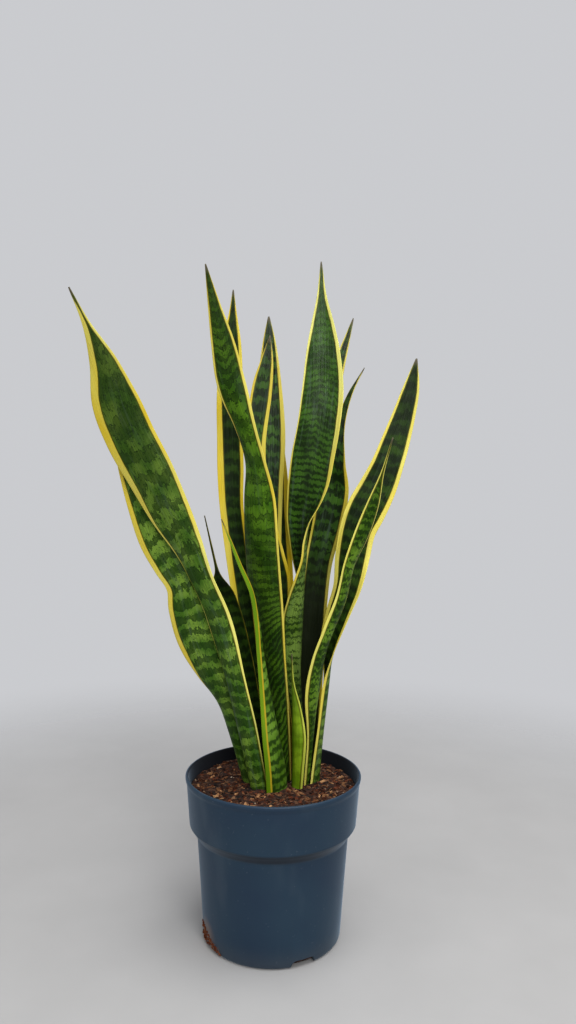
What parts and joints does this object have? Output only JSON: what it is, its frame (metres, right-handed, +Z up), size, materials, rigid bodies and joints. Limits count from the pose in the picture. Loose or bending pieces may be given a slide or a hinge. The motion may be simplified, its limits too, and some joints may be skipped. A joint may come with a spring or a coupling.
{
  "type": "potted snake plant",
  "caption": "Upright rosette of long sword-shaped leaves, cross-banded in two greens with yellow margins, standing in soil in a round dark blue grower's pot with a stepped collar.",
  "frame": {"origin": "middle of the pot's flat underside, on the surface it stands on", "axes": "+Z up, the side seen in the picture faces -Y, +X to the viewer's right"},
  "size_m": [0.3922, 0.2154, 0.81],
  "materials": {
    "pot": "satin",
    "soil": "matte",
    "leaf_outer_side": "satin",
    "leaf_inner_side": "satin",
    "leaf_lime": "satin"
  },
  "bodies": {
    "root": {"pot": "pot", "soil": "soil", "leaf_left_front": "leaf_outer_side", "leaf_left_outer": "leaf_outer_side", "leaf_tall_left": "leaf_outer_side", "leaf_back_left": "leaf_inner_side", "leaf_centre_front": "leaf_inner_side", "leaf_centre_back": "leaf_inner_side", "leaf_centre_short": "leaf_inner_side", "leaf_centre_hidden": "leaf_inner_side", "leaf_tall_right": "leaf_inner_side", "leaf_right_back": "leaf_inner_side", "leaf_back_right": "leaf_inner_side", "leaf_right": "leaf_inner_side", "leaf_right_front": "leaf_outer_side", "leaf_young": "leaf_lime", "leaf_narrow": "leaf_lime", "leaf_left_inner": "leaf_inner_side"}
  },
  "joints": []
}
